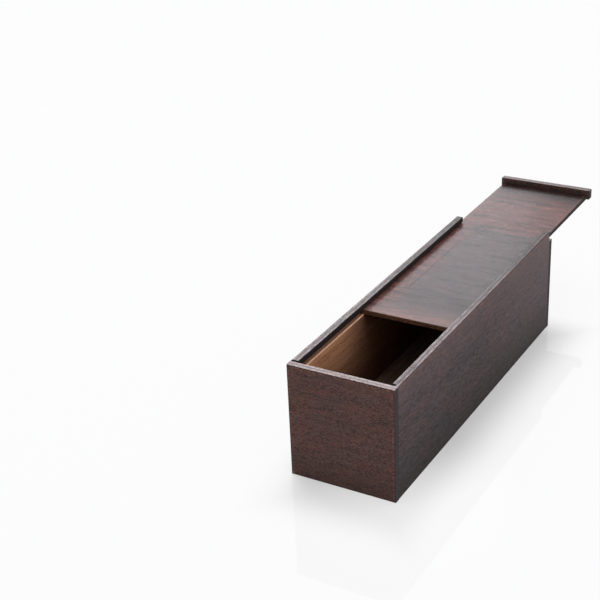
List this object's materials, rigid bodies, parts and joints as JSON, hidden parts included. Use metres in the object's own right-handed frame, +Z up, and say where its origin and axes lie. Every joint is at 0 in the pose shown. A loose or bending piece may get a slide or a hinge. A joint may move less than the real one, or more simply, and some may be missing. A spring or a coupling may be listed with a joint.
{
  "type": "sliding lid box",
  "caption": "Long dark-stained plywood box with a thin lid that slides in ploughed grooves and a full-width pull strip across the lid's end.",
  "frame": {"origin": "middle of the closed end panel's lower edge, on the plane that the box stands on", "axes": "+Z up, +Y along the box the way the lid slides open, +X to the right seen from the closed end"},
  "size_m": [0.1, 0.4761, 0.108],
  "materials": {
    "stained_end_ply": "plywood with a dark brown satin stain, grain across the box",
    "stained_side_ply": "plywood with a dark brown satin stain, grain along the box",
    "stained_bottom_ply": "plywood with a thin brown stain, grain along the box",
    "stained_lid_ply": "thin plywood with a dark brown satin stain, grain across the box",
    "stained_pull_strip": "hardwood-faced plywood strip with a dark brown satin stain"
  },
  "bodies": {
    "box": {"closed_end_panel": "stained_end_ply", "open_end_panel": "stained_end_ply", "left_side_panel": "stained_side_ply", "right_side_panel": "stained_side_ply", "bottom_panel": "stained_bottom_ply"},
    "lid": {"lid_panel": "stained_lid_ply", "lid_pull_strip": "stained_pull_strip"}
  },
  "joints": [
    {"name": "lid_slide", "type": "slide", "parent": "box", "child": "lid", "axis": [0, 1, 0], "range_m": [-0.12, 0.211]}
  ]
}
